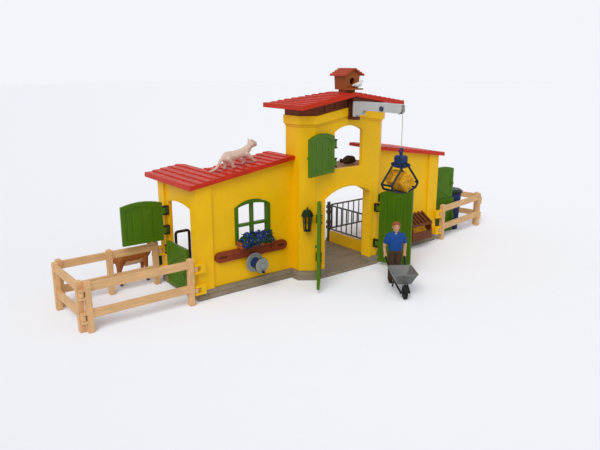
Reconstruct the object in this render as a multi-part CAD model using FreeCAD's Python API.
"""Toy farm playset: a barn tower between two stable wings, with doors, stall gates, fences,
a hay crane and the small accessories that stand about it.

Millimetres. X runs along the front, Y to the back, Z up. The origin is on the ground under
the tower, in line with the front walls of the wings.
"""
import FreeCAD
import Part
import math
import os

from FreeCAD import Vector

# Fits
overrun = 6.0            # how far a cutter passes the face that it opens
pin_play = 0.05          # radial play of a pin in its hole
part_gap = 0.5           # gap between pieces that move past each other
ground_gap = 0.4         # free feet above the ground
seat_gap = 0.3           # gap between a loose piece and what it rests in

# Facets
bar_sides = 6            # flats of the thin rods
pin_sides = 8            # flats of the repeated hinge pins, knuckles and their holes
turned_sides = 16        # flats of the larger turned pieces
arch_steps = 8           # chords of an arched edge
pebble_sides = 6
limb_sides = 6           # flats of the animals' bodies and legs
figure_sides = 8         # flats of the farmer
pebble_shares = ((-0.9, 0.5), (0.0, 1.0), (0.9, 0.5))

# Walls and plinths
wall = 6.0               # thickness of the moulded walls
plinth_height = 14.0
plinth_proud = 3.0       # how far plinths and pilasters stand out from a wall
floor_thickness = 5.0

# Tower
chamfer_width = 17.5     # of each chamfer, beside the flat front
hinge_margin = 5.0       # flat front outside the door hinges
tower_front = 31.0       # how far the front stands ahead of the wings
chamfer_depth = 13.5     # how far the chamfers go back from the front
return_back = 14.0       # where the side walls end at the back
cornice_above = 16.5     # top of the cornice above the loft opening's crown
cornice_height = 11.5
cornice_proud = 4.0
cornice_step = 3.0       # height and reach of the small step under the cornice
step_proud = 1.5
plank_count = 7          # boards of a floor
groove_width = 0.8
groove_depth = 0.6

# Tower doorway and loft opening
door_half = 45.0
door_hinge_clear = 12.5  # hinge axes outside the doorway
door_spring = 118.0
door_rise = 14.0
reveal_depth = 15.0      # depth of the doorway's lining
lining = 4.0
moulding_width = 5.0
moulding_proud = 2.0
loft_half = 27.0
loft_above = 27.0        # loft sill above the doorway's crown
loft_tall = 53.0         # from the sill to the springing
loft_rise = 8.0
loft_drop = 3.0          # loft floor below the sill
loft_thickness = 5.0
loft_back = 40.0
ledge = 4.0

# Tower roof
gable_height = 24.5      # underside of the ridge above the cornice
tower_roof_angle = 9.0
tower_side_over = 16.5
tower_front_over = 15.0
eave_back = 45.0
ridge_back = 8.0
roof_thickness = 6.0
tile_lip = 1.5
tower_courses = 10       # tile rows on each slope
pocket_width = 13.0      # recesses between the beam ends of the gable
pocket_depth = 1.5
pocket_count = 3         # on each side of the crane
pocket_margin = 2.5

# Wings
wing_length = 154.0      # from the tower's side to the outer face of the end wall
back_post = 17.0         # post behind the end doorway
eave_above = 25.0        # underside of the low eave above the end doorway's crown
wing_roof_angle = 8.5
wing_end_over = 12.0
wing_front_over = 8.0
wing_courses = 14
wing_back_over = 21.0    # roof behind the end wall
roof_step = 55.0         # back edge beside the tower
roof_jog_in = 46.0       # where the back edge steps forward, inside the end wall
roof_jog_radius = 12.0
pilaster_width = 24.0

# End doorways
end_door_front = 18.0
end_door_width = 63.0
end_door_spring = 121.5
end_door_rise = 4.5
end_sill = 4.0
post_clear = 6.0         # plain wall beside the doorway, for the hinges

# Window, flower box and coat rail on the left wing
window_out = 68.0        # middle from the tower's side
window_half = 29.0
window_low = 66.5
window_tall = 51.5       # from its foot to the springing
window_rise = 9.0
window_frame_width = 5.0
window_bar = 3.6
window_proud = 1.5
box_half = 27.0
box_drop = 3.5           # box below the window
box_height = 9.0
box_reach = 11.0
box_wall = 1.2
flower_radius = 4.2
flower_count = 6
leaf_radius = 3.2
leaf_forward = 2.0
flower_lift_shares = (1.1, 0.6)
rail_inner = 12.5        # inner end from the tower's side
rail_outer = 23.5        # outer end from the outer face of the end wall
rail_drop = 1.5          # rail below the flower box
rail_height = 14.0
rail_depth = 5.0
rail_hook_in = 28.0      # hook from the rail's end
rail_hook_radius = 1.3
rail_hook_reach = 6.0
rail_hook_rise = 3.0
rail_slot_length = 12.0
rail_slot_height = 3.0
rail_slot_in = 11.0      # slot's middle from the rail's end

# Hose reel under the coat rail
reel_drop = 8.5          # axis below the rail
plate_half = 8.0
plate_depth = 6.5        # holds the reel clear of the rail
spindle_radius = 2.0
reel_core_radius = 7.0
reel_back_radius = 14.0
reel_front_radius = 11.0
reel_flange = 2.0
reel_length = 20.5
reel_cap_radius = 4.0
reel_cap_depth = 2.0
crank_offset = 8.5
crank_radius = 1.6
crank_reach = 6.0

# Hinges
hinge_pin_radius = 1.2
barrel_radius = 2.4
barrel_height = 8.0
ear_thickness = 2.0
bracket_plate = 1.5

# Door leaves
leaf_thickness = 4.0
leaf_frame = 6.0
leaf_relief = 0.8
brace_width = 5.0
leaf_groove_count = 3
knob_radius = 2.2
knob_reach = 3.0
knob_inset = 4.0
ring_radius = 3.4
ring_wire = 0.9
leaf_floor_gap = 1.5
hinge_top_drop = 2.5     # top of a tower door at its hinge, below the springing
free_top_rise = 10.0     # top at its free edge, above the springing
door_bulge = 3.0         # how far the top edge bows above its chord
shutter_overlap = 4.0    # hinge axis outside the loft opening
shutter_drop = 2.0       # shutter below the sill
shutter_top_drop = 4.0   # top of the shutter below the springing
shutter_rise = 6.0
stable_split = 67.0      # where the upper leaf meets the lower
door_knuckle_shares = (0.26, 0.78)
door_left_angle = 132.0
door_right_angle = 108.0
shutter_angle = 165.0
left_upper_angle = 93.0
left_lower_angle = 0.0
right_upper_angle = 92.0
right_lower_angle = 96.0

# Stall gates of the right wing
post_radius = 3.0
post_base_radius = 5.0
post_base_height = 4.0
post_inset = 4.0         # post centre from the back line
gate_lift = 2.0          # gate above the stall's sill
gate_height = 45.0
gate_rod = 1.6
gate_bar = 1.1
gate_bar_count = 5
gate_start = 7.0
ring_wall = 2.0
ring_height = 5.0
side_ring_shares = (0.1, 0.9)
back_ring_shares = (0.3, 0.7)
stall_sill_height = 18.0

# Lanterns on the chamfers
lantern_low = 76.0
lantern_height = 24.0
lantern_radius = 5.5
lantern_cap = 6.0
lantern_cap_over = 1.8
lantern_taper = 1.5
lantern_reach = 10.0
lantern_arm = 1.4
lantern_plate = 1.5
lantern_plate_half = 3.5

# Crane
bracket_half = 6.0
bracket_below = 3.0      # lower ear below the jib's leg
bracket_drop = 1.5       # top of the bracket below the ridge
bracket_back = 3.0
pivot_reach = 9.0        # pivot ahead of the cornice
pivot_radius = 2.0
crane_barrel_radius = 4.5
bracket_ear = 4.0
jib_half = 4.0
jib_drop = 0.9           # jib below the upper ear
jib_height = 11.6
jib_reach = 83.5         # from the pivot to the sheave
jib_wall = 1.2
leg_depth = 12.0
leg_drop = 7.0
leg_fillet = 5.0
sheave_drop = 1.5        # sheave axis below the jib's middle
pulley_radius = 5.6
pulley_groove = 1.0
pulley_half = 1.3
fork_reach = 5.5         # nose of the jib ahead of the sheave's axis
sheave_pin_radius = 1.4
cord_wrap_steps = 4
winch_share = 0.66       # place of the winch along the jib
winch_drum_radius = 3.0
winch_knob_radius = 3.4
winch_knob_reach = 2.5
winch_axle_radius = 1.4
cord_radius = 0.6
cord_length = 47.8       # free cord under the sheave

# Grab and bale
eye_radius = 3.0
eye_wire = 1.0
head_half = 6.0
head_depth = 6.5
eye_height = 10.0        # from the head to the cord's end
head_tall = 16.5
head_chamfer = 2.0
neck_radius = 2.4
jaw_pivot_lift = 4.0     # jaw pins above the foot of the head
jaw_pivot_spread = 4.0
jaw_pin_radius = 1.2
jaw_barrel_radius = 2.7
jaw_barrel_depth = 4.0
tine_radius = 1.5
jaw_out = 25.5
jaw_out_drop = 25.0      # widest bend below the pins
jaw_knee = 21.0
jaw_knee_lift = 4.5      # lower bend above the tip
jaw_tip = 2.6
jaw_tip_drop = 36.5      # tip below the pins
jaw_cap = 0.8
jaw_cap_radius = 2.0
bale_side = 21.0
bale_length = 32.0
bale_chamfer = 1.2
bale_band = 0.6          # depth of the twine grooves
bale_band_width = 1.6
bale_band_shares = (-0.25, 0.25)

# Birdhouse
bird_half = 14.0
bird_ahead = 5.0         # front of the birdhouse ahead of the tower's
bird_depth = 23.0
bird_foot_half = 9.0
bird_foot_depth = 15.0
bird_foot_height = 3.0
bird_height = 21.0
bird_wall = 2.0
bird_taper = 1.5         # the body draws in towards its foot
bird_hole_radius = 4.6
bird_hole_share = 0.56
bird_roof_over = 4.5
bird_roof_angle = 27.0
bird_roof_thickness = 3.0
bird_roof_courses = 4
perch_depth = 9.0
perch_thickness = 2.0
dove_length = 15.0
dove_girth = 4.0
dove_angle = -20.0
dove_body_shares = ((-0.62, 0, 0.3, 0.35), (-0.3, 0, 0.3, 0.6), (0.0, 0, 0.32, 1.0), (0.25, 0, 0.42, 0.9))
dove_head_shares = ((0.12, 0, 0.45, 0.7), (0.26, 0, 0.62, 0.6), (0.38, 0, 0.68, 0.5), (0.56, 0, 0.62, 0.1))
dove_offset = 6.5

# Fences
fence_ahead = 5.0        # front panels ahead of the wings' plinths
fence_pivot_out = 9.5    # building pivots outside the end walls
back_fence_in = 9.0      # back panel ahead of the end wall's back edge
lug_width = 7.0
fence_top_over = 3.0     # posts above the upper rail
fence_post = 7.0
fence_rail_height = 10.0
fence_rail_depth = 4.0
fence_rail_low = 18.0
fence_rail_space = 23.0  # between the rails
fence_post_step = 7.5    # post centre from the pivot beside it
fence_long = 148.0       # pivot to pivot
fence_short = 100.0
fence_pin_radius = 1.5
fence_ring_wall = 1.8
fence_ring_height = 6.0
fence_ear = 3.0
fence_ring_shares = (0.3, 0.76)
fence_chamfer = 1.2
right_fence_angle = 9.0
right_side_angle = 92.0

# Hay rack on the right wing
rack_in = 54.0           # middle inside the end wall
rack_half = 24.0
rack_lift = 2.0          # above the plinth
rack_trough_height = 14.0
rack_trough_reach = 24.0
rack_board = 2.0
rack_tall = 41.0
rack_fall = 15.0
rack_slat = 3.0
rack_slat_count = 6
hay_height = 7.0

# Loose pieces
barrel_out = 82.5        # from the fence's pivot
barrel_back = 42.0
barrel_low_radius = 14.0
barrel_top_radius = 18.0
barrel_tall = 70.0
lid_radius = 20.0
lid_thickness = 7.0
lid_crown = 3.0
bucket_in = 10.0         # inside the end wall's outer face
bucket_behind = 34.0     # behind the wing
bucket_low_radius = 9.5
bucket_top_radius = 12.5
bucket_tall = 30.0
bucket_wall = 1.2
bail_radius = 0.8
bail_rise = 13.0
bail_steps = 8
hoop_in = 36.0           # inside the end wall's outer face
hoop_behind = 9.0        # behind the wing
hoop_half = 11.0
hoop_tall = 68.0
hoop_tube = 2.2
hoop_bend = 7.0
hoop_base = 3.0
hoop_base_over = 4.0
sack_x = 30.0
sack_y = 4.0
sack_length = 28.0
sack_girth = 7.0
sack_shares = ((-0.5, 0, 0.5, 0.6), (-0.38, 0, 0.6, 1.0), (0.1, 0, 0.65, 1.05), (0.3, 0, 0.6, 0.75),
               (0.38, 0, 0.6, 0.3), (0.5, 0, 0.65, 0.6))

# Calf behind the left back fence
calf_out = 28.5          # outside the fence's pivot
calf_behind = 18.0       # behind the wing
calf_length = 66.0
calf_tall = 58.0
calf_girth = 11.5
calf_flat_share = 0.8
calf_torso_shares = ((-0.44, 0, 0.68, 0.45), (-0.36, 0, 0.68, 0.9), (0.0, 0, 0.66, 1.0), (0.24, 0, 0.69, 0.9),
                     (0.34, 0, 0.73, 0.55))
calf_neck_shares = ((0.24, 0, 0.72, 0.65), (0.42, 0, 0.88, 0.4))
calf_head_shares = ((0.36, 0, 0.93, 0.34), (0.42, 0, 0.9, 0.46), (0.5, 0, 0.82, 0.36), (0.57, 0, 0.76, 0.26))
calf_tail_shares = ((-0.42, 0, 0.76, 0.14), (-0.49, 0, 0.58, 0.1), (-0.5, 0, 0.36, 0.16))
calf_leg_shares = (
    ((-0.33, -0.4, 0.68, 0.5), (-0.37, -0.42, 0.3, 0.26), (-0.35, -0.42, 0.0, 0.28)),
    ((-0.33, 0.4, 0.68, 0.5), (-0.33, 0.42, 0.3, 0.26), (-0.3, 0.42, 0.0, 0.28)),
    ((0.22, -0.4, 0.66, 0.45), (0.25, -0.42, 0.3, 0.25), (0.26, -0.42, 0.0, 0.28)),
    ((0.22, 0.4, 0.66, 0.45), (0.21, 0.42, 0.3, 0.25), (0.2, 0.42, 0.0, 0.28)),
)
calf_ear_shares = (
    ((0.38, -0.3, 0.94, 0.16), (0.36, -0.95, 0.94, 0.1)),
    ((0.38, 0.3, 0.94, 0.16), (0.36, 0.95, 0.94, 0.1)),
)

# Cat on the left roof
cat_out = 74.0           # from the tower's side
cat_y = 20.0
cat_length = 50.0
cat_tall = 27.0
cat_girth = 7.0
cat_flat_share = 0.75
cat_torso_shares = ((-0.5, 0, 0.6, 0.4), (-0.38, 0, 0.62, 0.95), (-0.05, 0, 0.58, 0.95), (0.2, 0, 0.62, 0.9),
                    (0.36, 0, 0.7, 0.55))
cat_neck_shares = ((0.26, 0, 0.68, 0.62), (0.48, 0, 0.88, 0.5))
cat_head_shares = ((0.4, 0, 0.92, 0.45), (0.47, 0, 0.91, 0.74), (0.55, 0, 0.88, 0.62), (0.62, 0, 0.84, 0.3))
cat_tail_shares = ((-0.46, 0, 0.64, 0.3), (-0.6, 0, 0.46, 0.27), (-0.76, 0, 0.2, 0.24), (-0.95, 0, 0.14, 0.2))
cat_leg_shares = (
    ((-0.36, 0.4, 0.55, 0.55), (-0.38, 0.42, 0.26, 0.32), (-0.47, 0.42, 0.0, 0.3)),
    ((-0.36, -0.4, 0.55, 0.55), (-0.26, -0.42, 0.26, 0.32), (-0.24, -0.42, 0.0, 0.3)),
    ((0.24, 0.4, 0.55, 0.5), (0.22, 0.42, 0.26, 0.3), (0.16, 0.42, 0.0, 0.3)),
    ((0.24, -0.4, 0.55, 0.5), (0.36, -0.42, 0.26, 0.3), (0.44, -0.42, 0.0, 0.3)),
)
cat_ear_shares = (
    ((0.46, -0.4, 1.02, 0.3), (0.44, -0.5, 1.2, 0.06)),
    ((0.46, 0.4, 1.02, 0.3), (0.44, 0.5, 1.2, 0.06)),
)

# Farmer and wheelbarrow
farmer_x = 22.0
farmer_ahead = 78.0      # ahead of the tower's front
farmer_angle = -34.0      # heading, from straight ahead
farmer_tall = 90.0
farmer_leg_shares = ((0.062, 0, 0.02, 0.036, 0.042), (0.06, 0, 0.12, 0.046, 0.05),
                     (0.058, 0, 0.25, 0.05, 0.056), (0.056, 0, 0.48, 0.066, 0.075))
farmer_shoe_shares = ((0.066, -0.03, 0.0, 0.042, 0.085), (0.066, -0.03, 0.03, 0.042, 0.085),
                      (0.064, 0.0, 0.07, 0.038, 0.05))
farmer_torso_shares = ((0, 0, 0.45, 0.112, 0.078), (0, 0, 0.52, 0.11, 0.075), (0, 0, 0.64, 0.135, 0.085),
                       (0, 0, 0.76, 0.15, 0.08), (0, 0, 0.8, 0.115, 0.062), (0, 0, 0.83, 0.045, 0.045),
                       (0, -0.01, 0.88, 0.042, 0.045))
farmer_head_shares = ((0, -0.02, 0.845, 0.03, 0.04), (0, -0.014, 0.88, 0.056, 0.066),
                      (0, -0.01, 0.925, 0.062, 0.072), (0, -0.005, 0.97, 0.05, 0.06),
                      (0, 0, 1.0, 0.022, 0.03))
farmer_nose_shares = ((0, -0.076, 0.895, 0.012, 0.014), (0, -0.07, 0.925, 0.006, 0.008))
farmer_shoulder_share = (0.142, 0.0, 0.775)
farmer_elbow_share = (0.178, 0.035, 0.62)
farmer_arm_shares = (0.052, 0.043, 0.03)
hand_height = 44.0
hand_half = 15.0
hand_radius = 3.4
handle_radius = 1.3
handle_play = 0.15
tub_back = 27.0
tub_length = 43.0
tub_half = 17.5
tub_tall = 16.0
tub_floor_half = 10.0
tub_floor_in = 8.0
tub_wall = 1.4
axle_ahead = 4.0         # wheel's axle ahead of the tub floor
barrow_wheel_radius = 9.5
barrow_wheel_half = 2.6
barrow_hub_half = 3.6
barrow_hub_radius = 3.0
barrow_axle = 1.1
fork_half = 6.0
barrow_leg_back = 6.0
bearer_step = 9.0
barrow_leg_foot = 4.0
frame_under = 1.5        # frame tubes below the tub floor

FRONT = Vector(0, -1, 0)
RIGHT = Vector(1, 0, 0)
BACK = Vector(0, 1, 0)
UP = Vector(0, 0, 1)
HOME = Vector(0, 0, 0)

# Sizes that follow from those above
tower_slope = math.tan(math.radians(tower_roof_angle))
wing_slope = math.tan(math.radians(wing_roof_angle))
axis_reach = plinth_proud + leaf_thickness / 2 + part_gap     # hinge axis ahead of the wall
leaf_start = barrel_radius * math.sqrt(2) + part_gap          # leaf edge from its hinge axis
door_hinge_side = door_half + door_hinge_clear
front_half = door_hinge_side + hinge_margin                   # half of the tower's flat front
tower_half = front_half + chamfer_width
door_hinge_top = door_spring - hinge_top_drop
door_free_top = door_spring + free_top_rise
loft_sill = door_spring + door_rise + loft_above
loft_top = loft_sill - loft_drop
loft_spring = loft_sill + loft_tall
shutter_top = loft_spring - shutter_top_drop
cornice_top = loft_spring + loft_rise + cornice_above         # at the sides, below the rising gable
tower_apex = cornice_top + gable_height
wing_end = tower_half + wing_length
end_door_back = end_door_front + end_door_width
wing_depth = end_door_back + post_clear + back_post
wing_eave = end_door_spring + end_door_rise + eave_above
roof_back = wing_depth + wing_back_over
roof_jog = wing_end - roof_jog_in
window_middle = -(tower_half + window_out)
window_spring = window_low + window_tall
box_low = window_low - box_drop
rail_half = (wing_length - rail_inner - rail_outer) / 2
rail_middle = -(tower_half + rail_inner + rail_half)
rail_low = box_low - rail_drop - rail_height
gate_low = floor_thickness + stall_sill_height + gate_lift
bracket_top = tower_apex - bracket_drop
jib_top = bracket_top - bracket_ear - jib_drop
bracket_low = jib_top - jib_height - leg_drop - bracket_below - bracket_ear
pivot_y = -(tower_front + cornice_proud + pivot_reach)
sheave_y = pivot_y - jib_reach
sheave_z = jib_top - jib_height / 2 - sheave_drop
winch_y = pivot_y - jib_reach * winch_share
cord_y = sheave_y - pulley_radius + pulley_groove - cord_radius - pin_play
cord_top = sheave_z - part_gap
cord_low = cord_top - cord_length
head_top = cord_low - eye_height
head_low = head_top - head_tall
jaw_pivot_height = head_low + jaw_pivot_lift
jaw_out_height = jaw_pivot_height - jaw_out_drop
jaw_tip_height = jaw_pivot_height - jaw_tip_drop
jaw_knee_height = jaw_tip_height + jaw_knee_lift
bird_base = tower_apex + roof_thickness
bird_front = -(tower_front + bird_ahead)
fence_line = -(plinth_proud + fence_ahead)
fence_pivot = wing_end + fence_pivot_out
back_fence_line = wing_depth - back_fence_in
fence_rail_high = fence_rail_low + fence_rail_height + fence_rail_space
fence_height = fence_rail_high + fence_rail_height + fence_top_over
rack_middle = wing_end - rack_in
rack_low = plinth_height + rack_lift
rack_top = rack_low + rack_tall
cat_x = -(tower_half + cat_out)
tub_floor = 2 * barrow_wheel_radius
tub_rim = tub_floor + tub_tall
axle_reach = tub_back + tub_length - tub_floor_in + axle_ahead


def span(x, y, z):
    """Box between two limits along each axis."""
    low = Vector(min(x), min(y), min(z))
    return Part.makeBox(max(x) - min(x), max(y) - min(y), max(z) - min(z), low)


def fuse(shapes):
    """One solid from touching shapes."""
    shapes = list(shapes)
    return shapes[0].multiFuse(shapes[1:]).removeSplitter()


def polygon(points):
    return Part.Face(Part.makePolygon(points + points[:1]))


def profile_xz(points, y, depth):
    """Prism on an outline of X and Z, from y towards the back."""
    return polygon([Vector(x, y, z) for x, z in points]).extrude(BACK * depth)


def profile_xy(points, low, high):
    """Upright prism on a plan outline."""
    return polygon([Vector(x, y, low) for x, y in points]).extrude(UP * (high - low))


def mirrored(shape):
    return shape.mirror(HOME, RIGHT)


def turned(shape, angle, centre=HOME, axis=UP):
    result = shape.copy()
    result.rotate(centre, axis, angle)
    return result


def moved(shape, place):
    result = shape.copy()
    result.translate(place)
    return result


def ring(centre, across, depth, sides):
    """Corners round a centre, within the ends of two half widths."""
    angles = [2 * math.pi * (side + 0.5) / sides for side in range(sides)]
    return [centre + across * math.cos(angle) + depth * math.sin(angle) for angle in angles]


def square_to(run):
    """Two directions square to a run and to each other."""
    across = run.cross(RIGHT if abs(run.x) < run.Length / 2 else BACK).normalize()
    return across, across.cross(run).normalize()


def bar(start, end, radius, sides=bar_sides):
    """Straight bar with flat sides, as wide as a round one over its corners."""
    across, depth = square_to(end - start)
    return polygon(ring(start, across * radius, depth * radius, sides)).extrude(end - start)


def pin(start, end, radius):
    """Hinge pin of many flats."""
    return bar(start, end, radius, pin_sides)


def pin_hole(start, end, radius):
    """Cutter in which a pin of that radius turns freely: its flats clear the pin's corners."""
    return bar(start, end, (radius + pin_play) / math.cos(math.pi / pin_sides), pin_sides)


def bent_bar(points, radius):
    """Bar along a line of points, mitred at its corners."""
    across, depth = square_to(points[1] - points[0])
    corners = ring(points[0], across * radius, depth * radius, bar_sides)
    section = Part.makePolygon(corners + corners[:1])
    return Part.Wire(Part.makePolygon(points).Edges).makePipeShell([section], True, False, 1)


def hoop(centre, across, depth, radius, wire):
    """Flat-sided ring with a square section, in the plane of two directions."""
    axis = across.cross(depth).normalize()
    start = centre - axis * wire
    outer, inner = [polygon(ring(start, across * size, depth * size, pin_sides)).extrude(axis * (2 * wire))
                    for size in (radius + wire, radius - wire)]
    return outer.cut(inner)


def faceted(rings):
    """Form with flat facets through rings of as many corners each."""
    faces = [polygon(rings[0][::-1]), polygon(rings[-1])]
    for low, high in zip(rings, rings[1:]):
        for index in range(len(low)):
            after = (index + 1) % len(low)
            faces.append(polygon([low[index], low[after], high[after]]))
            faces.append(polygon([low[index], high[after], high[index]]))
    solid = Part.makeSolid(Part.makeShell(faces))
    if solid.Volume < 0:
        solid.reverse()
    return solid


def spindle(foot, axis, outline):
    """Many-sided turned form: the outline holds radii and distances along the axis."""
    across, depth = square_to(axis)
    rings = [ring(foot + axis * along, across * radius, depth * radius, turned_sides)
             for radius, along in outline]
    return faceted(rings).removeSplitter()


def limb(points, radii, side, flat=1.0):
    """Tapering form along a line of points, with its rings square to the line and narrowed along side."""
    rings = []
    last = len(points) - 1
    for index, (point, radius) in enumerate(zip(points, radii)):
        run = points[min(index + 1, last)] - points[max(index - 1, 0)]
        across = (side - run * (side.dot(run) / run.dot(run))).normalize()
        depth = across.cross(run).normalize()
        rings.append(ring(point, across * (radius * flat), depth * radius, limb_sides))
    return faceted(rings)


def animal_limb(shares, length, girth, tall, flat=1.0):
    """Limb along X, from shares of an animal's length, girth and height, and of its girth for the radius."""
    points = [Vector(length * x, girth * y, tall * z) for x, y, z, _ in shares]
    return limb(points, [girth * row[-1] for row in shares], BACK, flat)


def stacked(shares, size):
    """Form through level rings, from shares of one size: place, height and two half widths."""
    rings = []
    for x, y, z, half_x, half_y in shares:
        centre = Vector(size * x, size * y, size * z)
        rings.append(ring(centre, RIGHT * (size * half_x), BACK * (size * half_y), figure_sides))
    return faceted(rings)


def flat_footed(shape, reach):
    """What of a shape is above its own ground."""
    return shape.common(span((-reach, reach), (-reach, reach), (0, 2 * reach)))


def pebble(centre, half_x, half_y, half_z):
    """Rounded lump."""
    rings = []
    for lift_share, width_share in pebble_shares:
        middle = centre + UP * (half_z * lift_share)
        across, depth = RIGHT * (half_x * width_share), BACK * (half_y * width_share)
        rings.append(ring(middle, across, depth, pebble_sides))
    return faceted(rings)


def bow(start, crown, end):
    """Corners along the arc through three points."""
    return Part.Arc(start, crown, end).toShape().discretize(arch_steps + 1)


def arch(half, low, spring, rise, front, depth, middle=0.0):
    """Block with an arched top, centred on middle, from front towards the back."""
    foot = [Vector(middle - half, front, low), Vector(middle + half, front, low)]
    left, right = (Vector(corner.x, front, spring) for corner in foot)
    top = bow(right, Vector(middle, front, spring + rise), left)
    return polygon(foot + top).extrude(BACK * depth)


def planks(x, y, top):
    """Cutter for the grooves between the boards of a floor, which run along X."""
    pitch = (max(y) - min(y)) / plank_count
    lines = [min(y) + pitch * board for board in range(1, plank_count)]
    return [span(x, (line - groove_width / 2, line + groove_width / 2), (top - groove_depth, top + overrun))
            for line in lines]


def stepped_slope(low, high, run, thickness, courses):
    """Section of a tiled slope that rises from the low end over a run, as points of distance and height."""
    lower = [(0.0, low), (run, high)]
    upper = []
    for course in reversed(range(courses)):
        start, end = run * course / courses, run * (course + 1) / courses
        rise = (high - low) / run
        upper.append((end, low + rise * end + thickness - tile_lip))
        upper.append((start, low + rise * start + thickness))
    return lower + upper


# Tower

def tower_outline(grow, back):
    """Plan of the tower's front and sides, moved out by grow and closed at the back."""
    bevel = math.atan2(chamfer_depth, tower_half - front_half)
    front_x = front_half + grow * math.tan(bevel / 2)
    side_y = chamfer_depth - tower_front - grow * math.tan((math.pi / 2 - bevel) / 2)
    right = [(front_x, -tower_front - grow), (tower_half + grow, side_y), (tower_half + grow, back)]
    return [(-x, y) for x, y in reversed(right)] + right


def tower_ring(grow, low, high):
    """Wall of the tower with its outer face moved out by grow, open at the back."""
    outer = profile_xy(tower_outline(grow, return_back), low, high)
    inner = profile_xy(tower_outline(-wall, return_back + overrun), low - overrun, high + overrun)
    return outer.cut(inner)


def gable_line(lift):
    """Top edge of the tower wall, level at the sides and rising to the middle."""
    far = tower_half + tower_side_over
    top = cornice_top + lift
    peak = top + tower_slope * front_half
    return [(-far, top), (-front_half, top), (0, peak), (front_half, top), (far, top)]


def below_gable(lift):
    """Block under the tower's top edge."""
    far = tower_half + tower_side_over
    points = [(far, 0), (-far, 0)] + gable_line(lift)
    depth = tower_front + tower_front_over + wing_depth
    return profile_xz(points, -tower_front - tower_front_over, depth)


def doorway(half, low, spring, rise, depth):
    """Cutter for an opening in the tower front."""
    return arch(half, low, spring, rise, -tower_front - overrun, depth + overrun)


def tower_base():
    plan = tower_outline(plinth_proud, wing_depth)
    floor = profile_xy(plan, 0, floor_thickness)
    plinth = tower_ring(plinth_proud, 0, plinth_height)
    cheek = span((door_half, door_half + lining), (-tower_front, reveal_depth - tower_front),
                 (0, plinth_height))
    gap = span((-door_half, door_half), (-tower_front - overrun, reveal_depth - tower_front),
               (floor_thickness, plinth_height + overrun))
    base = fuse([floor, plinth, cheek, mirrored(cheek)]).cut(gap)
    inside = tower_half - wall - plinth_proud
    return base.cut(planks((-inside, inside), (wall - tower_front, wing_depth), floor_thickness))


def tower_shell():
    high = tower_apex
    walls = tower_ring(0, plinth_height, high).common(below_gable(0))
    band = tower_ring(cornice_proud, plinth_height, high).common(below_gable(0))
    band = band.cut(below_gable(-cornice_height))
    step = tower_ring(step_proud, plinth_height, high).common(below_gable(-cornice_height))
    step = step.cut(below_gable(-cornice_height - cornice_step))
    frame = arch(door_half + lining, plinth_height, door_spring, door_rise + lining,
                 -tower_front, reveal_depth)
    edge = door_half + moulding_width
    moulding = arch(edge, plinth_height, door_spring, door_rise + moulding_width,
                    -tower_front - moulding_proud, moulding_proud + wall)
    inside = tower_half - wall
    rest = span((inside - ledge, inside), (wall - tower_front + chamfer_depth, return_back),
                (loft_top - loft_thickness - ledge, loft_top - loft_thickness))
    shell = fuse([walls, band, step, frame, moulding, rest, mirrored(rest), stall_sill()])
    shell = shell.cut(doorway(door_half, 0, door_spring, door_rise, reveal_depth + overrun))
    return shell.cut(doorway(loft_half, loft_sill, loft_spring, loft_rise, reveal_depth + overrun))


def loft_floor():
    inside = tower_half - wall
    corner = tower_outline(-wall, loft_back)
    plan = [(max(-inside, min(inside, x)), y) for x, y in corner]
    floor = profile_xy(plan, loft_top - loft_thickness, loft_top)
    return floor.cut(planks((-inside, inside), (wall - tower_front, loft_back), loft_top))


def gable_truss():
    """Brown beam band between the cornice and the roof, with recesses between its beam ends."""
    far = tower_half + tower_side_over
    depth = tower_front + tower_front_over + wing_depth
    eave = tower_apex - tower_slope * far
    under_roof = profile_xz([(far, 0), (-far, 0), (-far, eave), (0, tower_apex), (far, eave)],
                            -tower_front - tower_front_over, depth)
    band = tower_ring(step_proud, cornice_top, tower_apex).common(under_roof).cut(below_gable(0))
    face = tower_front + step_proud
    pitch = (front_half - bracket_half) / pocket_count
    for place in range(pocket_count):
        middle = bracket_half + pitch * place + pitch / 2
        low = cornice_top + tower_slope * (front_half - middle + pocket_width / 2) + pocket_margin
        high = tower_apex - tower_slope * (middle + pocket_width / 2) - pocket_margin
        pocket = span((middle - pocket_width / 2, middle + pocket_width / 2),
                      (-face - overrun, pocket_depth - face), (low, high))
        band = band.cut([pocket, mirrored(pocket)])
    return band


def tower_roof():
    far = tower_half + tower_side_over
    eave = tower_apex - tower_slope * far
    slope = stepped_slope(eave, tower_apex, far, roof_thickness, tower_courses)
    front = -tower_front - tower_front_over
    half = profile_xz([(far - run, height) for run, height in slope], front, eave_back - front)
    notch = profile_xy([(-far, eave_back), (0, ridge_back), (far, eave_back), (0, eave_back + overrun)],
                       eave - overrun, tower_apex + roof_thickness + overrun)
    return fuse([half, mirrored(half)]).cut(notch)


# Wings, drawn on the left side

def wing_top(x):
    """Underside of the wing roof at a distance from the middle."""
    return wing_eave + wing_slope * (wing_end + wing_end_over - x)


def under_wing_roof(inner, outer, front, depth):
    """Upright block between two distances from the middle, up to the roof."""
    points = [(-outer, plinth_height), (-inner, plinth_height),
              (-inner, wing_top(inner)), (-outer, wing_top(outer))]
    return profile_xz(points, front, depth)


def end_doorway(depth):
    """Cutter for the arched opening in the left end wall."""
    middle = end_door_front + end_door_width / 2
    opening = arch(end_door_width / 2, 0, end_door_spring, end_door_rise, 0, depth)
    opening = turned(opening, 90)
    return moved(opening, Vector(-wing_end + depth / 2, middle, 0))


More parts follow.
